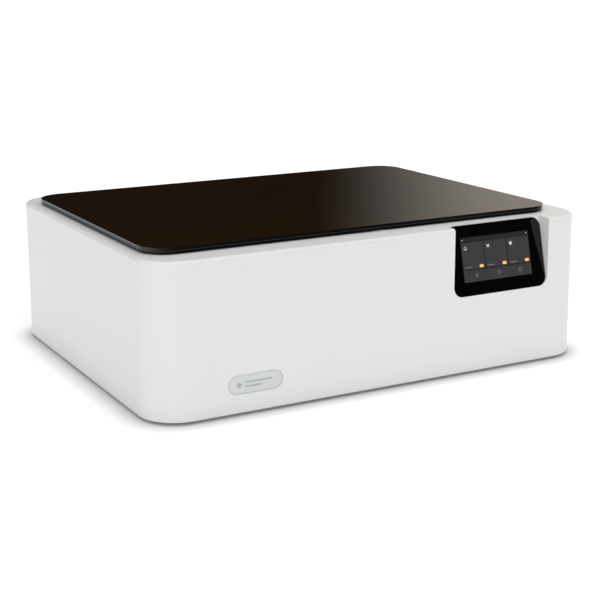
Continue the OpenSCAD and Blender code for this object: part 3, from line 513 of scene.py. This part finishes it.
def badge():
    """The recessed pill on the front: a rounded plate with a raised rim, two plain bars and a diamond."""
    low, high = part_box("badge")
    width, height = high.x - low.x, high.z - low.z
    pill_radius = height / 2 - 1e-5
    mark_low, mark_high, mark_edge = 0.6 * MM, 1.0 * MM, 0.25 * MM
    shape = bmesh.new()
    plate(shape, width, height, pill_radius, 0, 0.75 * MM, 0.5 * MM, steps=20)
    ring_about(shape, (0, 0), width, height, pill_radius, 0,
               [(0.5, 0.6), (0.8, 1.0), (1.3, 1.0), (1.6, 0.6)], steps=20)
    bars_left, bar_height = -13 * MM, 2.0 * MM
    for length, v in ((34 * MM, 2.0 * MM), (22 * MM, -3.0 * MM)):
        plate(shape, length, bar_height, 0.9 * MM, mark_low, mark_high, mark_edge, slot=1, steps=6,
              at=(bars_left + length / 2, v))
    diamond = 5.5 * MM
    verts = plate(shape, diamond, diamond, 1.2 * MM, mark_low, mark_high, mark_edge, slot=1, steps=6)
    move(shape, verts, Matrix.Translation((-21 * MM, -0.5 * MM, 0)) @ Matrix.Rotation(math.pi / 4, 4, "Z"))
    place = Matrix.Translation(((low.x + high.x) / 2, high.y, (low.z + high.z) / 2))
    shape.transform(place @ Matrix.Rotation(math.pi / 2, 4, "X"))
    piece("badge_plate", shape, "housing", [BADGE_GREY, BADGE_MARK], replaces=["badge"])


def screw_shape(shape, place, radius=3.2 * MM, height=1.7 * MM):
    """A domed head with a six-sided socket, its seat on the XY plane."""
    socket_depth = 1.0 * MM
    rim = 0.35
    sides = 24
    rings = [circle(radius, 0, sides), circle(radius, rim * height, sides)]
    for step in range(1, 6):
        angle = math.radians(15 * step)
        rings.append(circle(radius * (rim + (1 - rim) * math.cos(angle)),
                            height * (rim + (1 - rim) * math.sin(angle)), sides))
    rings.append(circle(0.50 * radius, height, sides))
    flat = 0.40 * radius * math.cos(math.pi / 6)
    for z in (height, height - socket_depth):
        ring = []
        for i in range(sides):
            angle = 2 * math.pi * i / sides
            reach = flat / math.cos(angle % (math.pi / 3) - math.pi / 6)
            ring.append((reach * math.cos(angle), reach * math.sin(angle), z))
        rings.append(ring)
    move(shape, loft(shape, rings), place)


def case_screws():
    """Socket-head screws where the CAD model has plain ones."""
    shape = bmesh.new()
    seat, rear_seat = 1.6 * MM, 1.8 * MM
    for low, high in separate_boxes("panel_screws"):
        centre = (low + high) / 2
        if high.y - low.y > high.x - low.x + 1 * MM:
            place = Matrix.Translation((centre.x, high.y - rear_seat, centre.z))
            place = place @ Matrix.Rotation(-math.pi / 2, 4, "X")
        elif centre.z < middle("outer_housing").z:
            place = Matrix.Translation((centre.x, centre.y, low.z + seat))
            place = place @ Matrix.Rotation(math.pi, 4, "X")
        else:
            place = Matrix.Translation((centre.x, centre.y, high.z - seat))
        screw_shape(shape, place)
        bar(shape, place @ Vector((0, 0, 0.2 * MM)), place @ Vector((0, 0, -5.0 * MM)), 1.45 * MM, 16)
    piece("socket_screws", shape, "housing", [SCREW_STEEL], replaces=["panel_screws"])


def lid_gasket():
    """A soft ring under the lid's frame, and the paler line between the frame and the pane."""
    frame_low, frame_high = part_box("lid_frame")
    pane_low, pane_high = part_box("lid_pane")
    centre = (frame_low + frame_high) / 2
    width, depth = frame_high.x - frame_low.x, frame_high.y - frame_low.y
    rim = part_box("outer_housing")[1].z
    shape = bmesh.new()
    ring_about(shape, centre, width, depth, 33.2 * MM, rim + 0.15 * MM,
               [(9, 0.0), (8.4, 0.45), (8.8, 0.8), (12.2, 0.8), (12.6, 0.45), (12, 0.0)])
    piece("lid_gasket", shape, "lid", [RUBBER])
    width, depth = pane_high.x - pane_low.x, pane_high.y - pane_low.y
    shape = bmesh.new()
    ring_about(shape, centre, width, depth, 34 * MM, pane_low.z,
               [(0.45, -0.5), (0.30, -0.25), (0.45, 0.0), (1.2, 0.0), (1.2, -0.5)])
    piece("lid_joint_line", shape, "lid", [EDGE_GREY])


def light_bar():
    """A strip of small lamps on the rear wall of the chamber."""
    low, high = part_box("rear_bulkhead")
    end_margin, height, count = 75 * MM, 8 * MM, 18
    left, right = low.x + end_margin, high.x - end_margin
    front, top = low.y - 2 * MM, high.z - 3 * MM
    shape = bmesh.new()
    block(shape, (left, front, top - height), (right, low.y - 0.1 * MM, top))
    for i in range(count):
        x = left + (right - left) * (i + 0.5) / count
        verts = plate(shape, 5 * MM, 4 * MM, 0.8 * MM, 0, 0.9 * MM, 0.3 * MM, slot=1, steps=4)
        place = Matrix.Translation((x, front, top - height / 2))
        move(shape, verts, place @ Matrix.Rotation(math.pi / 2, 4, "X"))
    piece("light_bar", shape, "housing", [COVER_GREY, LED])


# ---- Bed ----

def honeycomb():
    """Thin walls of hexagonal cells, as folded from aluminium strip."""
    low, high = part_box("honeycomb_core")
    side, wall = 4.6 * MM, 0.30 * MM
    step_x, step_y = side * math.sqrt(3), side * 1.5
    shape = bmesh.new()

    def strip(a, b):
        along = Vector((b[0] - a[0], b[1] - a[1]))
        if along.length < 0.2 * MM:
            return
        aside = Vector((-along.y, along.x)).normalized() * wall / 2
        corners = [(a[0] + aside.x, a[1] + aside.y), (a[0] - aside.x, a[1] - aside.y),
                   (b[0] - aside.x, b[1] - aside.y), (b[0] + aside.x, b[1] + aside.y)]
        loft(shape, [[(x, y, z) for x, y in corners] for z in (low.z, high.z)])

    def kept(point):
        return (min(max(point[0], low.x), high.x), min(max(point[1], low.y), high.y))

    rows = int((high.y - low.y) / step_y) + 2
    columns = int((high.x - low.x) / step_x) + 2
    for row in range(rows):
        for column in range(columns):
            x = low.x + (column + 0.5 * (row % 2)) * step_x
            y = low.y + row * step_y
            top = (x, y + side)
            for end in ((x + step_x / 2, y + side / 2), (x - step_x / 2, y + side / 2)):
                strip(kept(top), kept(end))
            strip(kept((x + step_x / 2, y + side / 2)), kept((x + step_x / 2, y - side / 2)))
    for x in (low.x, high.x):
        strip((x, low.y), (x, high.y))
    for y in (low.y, high.y):
        strip((low.x, y), (high.x, y))
    piece("honeycomb", shape, "housing", [ALLOY], smooth=20, replaces=["honeycomb_core"])


def bed_scale():
    """Fine marks every ten millimetres along two edges of the bed frame, and its corner screws."""
    low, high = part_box("bed_frame")
    core_low, core_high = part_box("honeycomb_core")
    pitch, mark_width, mark_height, gap = 10 * MM, 0.4 * MM, 0.06 * MM, 1.5 * MM
    top = high.z
    shape = bmesh.new()
    for along, across in ((0, 1), (1, 0)):
        for i in range(int((core_high[along] - core_low[along]) / pitch) + 1):
            start, end = Vector((0, 0, top)), Vector((0, 0, top + mark_height))
            start[along] = core_low[along] + pitch * i - mark_width / 2
            end[along] = start[along] + mark_width
            end[across] = core_low[across] - gap
            start[across] = end[across] - (5 if i % 5 == 0 else 3) * MM
            block(shape, start, end)
    piece("bed_scale", shape, "housing", [BLACK])
    inset = 5 * MM
    shape = bmesh.new()
    for x in (low.x + inset, high.x - inset):
        for y in (low.y + inset, high.y - inset):
            screw_shape(shape, Matrix.Translation((x, y, top)), 2.6 * MM, 1.4 * MM)
    piece("bed_screws", shape, "housing", [SCREW_STEEL])


# ---- Motion ----

# The belts: from the pulley's middle to the tips of the teeth, the depth of a tooth, the whole
# thickness and the distance between teeth
BELT_RADIUS = 6.15 * MM
BELT_TOOTH = 0.70 * MM
BELT_THICK = 1.35 * MM
BELT_PITCH = 2 * MM


def toothed_loop(shape, length, width, place):
    """A toothed belt about two pulleys: a band with its teeth inwards."""
    inner = BELT_RADIUS + BELT_TOOTH
    outer = BELT_RADIUS + BELT_THICK
    round_part = math.pi * inner
    whole = 2 * length + 2 * round_part

    def at(s):
        """The place on the band's inner face at a distance along it, and the way out from there."""
        s = s % whole
        if s < length:
            return Vector((s, -inner, 0)), Vector((0, -1, 0))
        s -= length
        if s < round_part:
            angle = -math.pi / 2 + s / inner
            out = Vector((math.cos(angle), math.sin(angle), 0))
            return Vector((length, 0, 0)) + out * inner, out
        s -= round_part
        if s < length:
            return Vector((length - s, inner, 0)), Vector((0, 1, 0))
        angle = math.pi / 2 + (s - length) / inner
        out = Vector((math.cos(angle), math.sin(angle), 0))
        return out * inner, out

    bend = 10
    stations = [0.0, length]
    stations += [length + round_part * i / bend for i in range(1, bend + 1)]
    stations += [2 * length + round_part * (1 + i / bend) for i in range(bend)]
    rings = []
    for s in stations:
        point, out = at(s)
        corners = []
        for r, z in ((inner, 0), (outer, 0), (outer, width), (inner, width)):
            corners.append(place @ (point + out * (r - inner) + Vector((0, 0, z))))
        rings.append(corners)
    loft(shape, rings, closed=True)

    overlap, side_gap = 0.05 * MM, 0.1 * MM
    root, crest = 0.55 * MM, 0.33 * MM
    count = int(whole / BELT_PITCH)
    for i in range(count):
        point, out = at((i + 0.5) * whole / count)
        along = Vector((-out.y, out.x, 0))
        rings = []
        for z in (side_gap, width - side_gap):
            ring = []
            for u, r in ((-root, overlap), (root, overlap), (crest, overlap - BELT_TOOTH),
                         (-crest, overlap - BELT_TOOTH)):
                ring.append(place @ (point + along * u + out * r + Vector((0, 0, z))))
            rings.append(ring)
        loft(shape, rings)


def belts():
    """The toothed belts of both axes."""
    outer = BELT_RADIUS + BELT_THICK
    low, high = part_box("x_belt")
    shape = bmesh.new()
    place = Matrix.Translation((low.x + outer, (low.y + high.y) / 2, low.z))
    toothed_loop(shape, high.x - low.x - 2 * outer, high.z - low.z, place)
    piece("x_belt_toothed", shape, "gantry", [BELT], smooth=25, replaces=["x_belt"])
    shape = bmesh.new()
    for low, high in separate_boxes("y_belts"):
        turn = Matrix(((0, 0, 1, 0), (1, 0, 0, 0), (0, 1, 0, 0), (0, 0, 0, 1)))
        place = Matrix.Translation((low.x, low.y + outer, (low.z + high.z) / 2)) @ turn
        toothed_loop(shape, high.y - low.y - 2 * outer, high.x - low.x, place)
    piece("y_belts_toothed", shape, "housing", [BELT], smooth=25, replaces=["y_belts"])


def fan(name, node, body, hub, tip, blades, made):
    """A moulded fan wheel: a rounded hub and twisted blades that are swept forward."""
    low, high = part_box(node)
    centre = (low + high) / 2
    depth = high.y - low.y
    shape = bmesh.new()
    profile = [(hub - 1 * MM, -depth / 2), (hub, -depth / 2 + 1 * MM), (hub, depth / 2 - 3 * MM),
               (hub - 1.2 * MM, depth / 2 - 1 * MM), (hub - 4 * MM, depth / 2)]
    loft(shape, [circle(r, z, 48) for r, z in profile])
    root = hub - 0.8 * MM
    half_thickness = 0.9 * MM
    root_pitch, untwist, sweep_at_tip = 50, 22, 0.28
    across, along = 8, 8
    for blade in range(blades):
        start = 2 * math.pi * blade / blades
        rows = []
        for i in range(across + 1):
            share = i / across
            radius = root + (tip - root) * share
            pitch = math.radians(root_pitch - untwist * share)
            chord = (0.62 + 0.20 * share) * 2 * math.pi * (0.45 * hub + 0.55 * radius) / blades
            chord = min(chord, (depth - 2.5 * MM) / math.sin(pitch))
            sweep = sweep_at_tip * share ** 1.5
            ring = []
            for side in (1, -1):
                for j in range(along + 1):
                    u = side * (j / along - 0.5)
                    camber = 0.08 * chord * (1 - 4 * u * u)
                    lift = camber + side * half_thickness * math.sqrt(max(0.02, 1 - 4 * u * u * 0.98))
                    tangential = u * chord * math.cos(pitch) - lift * math.sin(pitch)
                    axial = u * chord * math.sin(pitch) + lift * math.cos(pitch)
                    angle = start + sweep + tangential / radius
                    ring.append((radius * math.cos(angle), radius * math.sin(angle), axial))
            rows.append(ring)
        loft(shape, rows)
    shape.transform(Matrix.Translation(centre) @ Matrix.Rotation(-math.pi / 2, 4, "X"))
    piece(name, shape, body, [made], smooth=40, replaces=[node])


def head_details():
    """The rounded fascia of the laser head with its slots and screws, and the rings on the lens tube."""
    low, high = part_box("head_housing")
    mirror_box = 41 * MM
    width, height, thickness = 38 * MM, 30 * MM, 1.2 * MM
    centre_z = high.z - mirror_box + 16.8 * MM
    place = Matrix.Translation(((low.x + high.x) / 2, low.y, centre_z))
    face = place @ Matrix.Rotation(math.pi / 2, 4, "X")
    shape = bmesh.new()
    verts = plate(shape, width, height, 5 * MM, 0, thickness, 0.7 * MM)
    for i in range(4):
        verts += plate(shape, 20 * MM, 1.6 * MM, 0.7 * MM, 1.0 * MM, 1.35 * MM, 0.1 * MM, slot=1, steps=5,
                       at=(0, (-9 + 3.6 * i) * MM))
    verts += plate(shape, 3.4 * MM, 3.4 * MM, 1.6 * MM, 1.0 * MM, 1.5 * MM, 0.2 * MM, slot=2, steps=6,
                   at=(0, 8 * MM))
    move(shape, verts, face)
    piece("head_fascia", shape, "head", [HEAD_WHITE, BLACK, LED])
    inset = 3.5 * MM
    shape = bmesh.new()
    for u in (inset - width / 2, width / 2 - inset):
        for v in (inset - height / 2, height / 2 - inset):
            seat = Matrix.Translation((u, v, thickness - 0.1 * MM))
            screw_shape(shape, face @ seat, 1.7 * MM, 1.1 * MM)
    piece("head_screws", shape, "head", [SCREW_STEEL])
    low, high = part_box("lens_tube")
    axis = Matrix.Translation((middle("lens_tube").x, middle("head_housing").y + 0.5 * MM, 0))
    inside, outside = 10.9 * MM, 11.35 * MM
    shape = bmesh.new()
    for level in (13.2, 14.4, 15.6):
        z = low.z + level * MM
        section = [(inside, z), (outside, z + 0.2 * MM), (outside, z + 0.7 * MM), (inside, z + 0.9 * MM)]
        move(shape, turned(shape, section), axis)
    piece("lens_rings", shape, "lens", [ALLOY])


# ---- Studio ----

def studio_floor():
    """A pale, faintly glowing floor with a painted contact shadow: ambient occlusion darkens its colour and
    glow close under the case.
    """
    shape = bmesh.new()
    bmesh.ops.create_grid(shape, x_segments=1, y_segments=1, size=40)
    mesh = bpy.data.meshes.new("floor")
    shape.to_mesh(mesh)
    shape.free()
    floor = bpy.data.objects.new("floor", mesh)
    floor.location.z = CAD_BOX[0].z
    bpy.context.scene.collection.objects.link(floor)
    made = surface("floor_white", (0.95, 0.95, 0.95), 0.9, grain=(200, 0.0), patches=(0.5, 0.003),
                   Specular_IOR_Level=0.0)
    nodes, links = made.node_tree.nodes, made.node_tree.links
    shader = nodes["Principled BSDF"]
    contact_shadow_ao = nodes.new("ShaderNodeAmbientOcclusion")
    contact_shadow_ao.samples = 8
    contact_shadow_ao.inputs["Distance"].default_value = 0.031
    # Painted shadow: the floor darkens where ambient occlusion finds the case close by
    shade = map_range(nodes, links, contact_shadow_ao.outputs["AO"], 0.45, 1.0, 0.52, 1.0)
    white = shader.inputs["Base Color"].links[0].from_socket
    tint = mix_colours(nodes, links, 1.0, white, shade, "MULTIPLY")
    links.new(tint, shader.inputs["Base Color"])
    links.new(tint, shader.inputs["Emission Color"])
    shader.inputs["Emission Strength"].default_value = 0.20
    mesh.materials.append(made)


def studio_light():
    """Soft light from all round, dimmer low behind the case, and one broad lamp from the front."""
    world = bpy.data.worlds.new("studio")
    bpy.context.scene.world = world
    world.use_nodes = True
    nodes, links = world.node_tree.nodes, world.node_tree.links
    back = nodes["Background"]
    direction = nodes.new("ShaderNodeTexCoord").outputs["Generated"]

    def towards(azimuth, elevation, start, end, low, high):
        """Goes from low to high between two distances from a direction, given as cosines."""
        azimuth, elevation = math.radians(azimuth), math.radians(elevation)
        dot = nodes.new("ShaderNodeVectorMath")
        dot.operation = "DOT_PRODUCT"
        dot.inputs[1].default_value = (math.sin(azimuth) * math.cos(elevation),
                                       math.cos(azimuth) * math.cos(elevation), math.sin(elevation))
        links.new(direction, dot.inputs[0])
        return map_range(nodes, links, dot.outputs["Value"], start, end, low, high, smooth=True)

    # Brighter overhead, then the dark card behind the lid, the dimmer left and the dark card in front
    light = towards(0, 90, 0.0, 1.0, 0.50, 1.12)
    for card in ((-12, 6, 0.755, 0.635, 0.012, 1.06), (-95, 10, 0.2, 0.9, 1.0, 0.86),
                 (151, 12, 0.97, 0.86, 0.03, 1.0)):
        product = nodes.new("ShaderNodeMath")
        product.operation = "MULTIPLY"
        links.new(light, product.inputs[0])
        links.new(towards(*card), product.inputs[1])
        light = product.outputs["Value"]
    warmth = towards(45, 12, 0.85, 0.97, 0.0, 1.0)
    tint = mix_colours(nodes, links, warmth, (1.0, 1.0, 1.0, 1), (1.0, 0.91, 0.83, 1))
    links.new(tint, back.inputs["Color"])
    seen = nodes.new("ShaderNodeMix")
    seen.inputs["B"].default_value = 1.0
    path = nodes.new("ShaderNodeLightPath")
    links.new(path.outputs["Is Camera Ray"], seen.inputs["Factor"])
    links.new(light, seen.inputs["A"])
    links.new(seen.outputs["Result"], back.inputs["Strength"])

    sun = bpy.data.lights.new("key", "SUN")
    sun.energy = 0.55
    sun.angle = math.radians(60)
    lamp = bpy.data.objects.new("key", sun)
    lamp.rotation_euler = (math.radians(45), 0, math.radians(-25))
    bpy.context.scene.collection.objects.link(lamp)


def camera():
    """The camera, which looks at the case from its front left corner."""
    low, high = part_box("outer_housing")
    data = bpy.data.cameras.new("camera")
    made = bpy.data.objects.new("camera", data)
    bpy.context.scene.collection.objects.link(made)
    data.lens = CAMERA_LENS
    data.sensor_width = 36
    data.shift_y = CAMERA_SHIFT
    data.clip_start = 0.05
    data.clip_end = 200
    foot = Vector(((low.x + high.x) / 2, (low.y + high.y) / 2, low.z))
    turn = (Matrix.Rotation(math.radians(-CAMERA_YAW), 4, "Z")
            @ Matrix.Rotation(math.radians(90 - CAMERA_PITCH), 4, "X")
            @ Matrix.Rotation(math.radians(CAMERA_ROLL), 4, "Z"))
    made.matrix_world = Matrix.Translation(foot + CAMERA_OFFSET) @ turn
    bpy.context.scene.camera = made


bpy.context.scene.view_settings.view_transform = "Standard"
camera()
studio_floor()
studio_light()
paint_nodes()
touch_screen()
badge()
case_screws()
lid_gasket()
light_bar()
honeycomb()
bed_scale()
belts()
fan("exhaust_fan_wheel", "exhaust_impeller", "exhaust_rotor", 20 * MM, 52 * MM, 7, FAN_BLACK)
fan("radiator_fan_wheel", "radiator_fan", "cooling_rotor", 12 * MM, 35 * MM, 7, FAN_BLACK)
head_details()
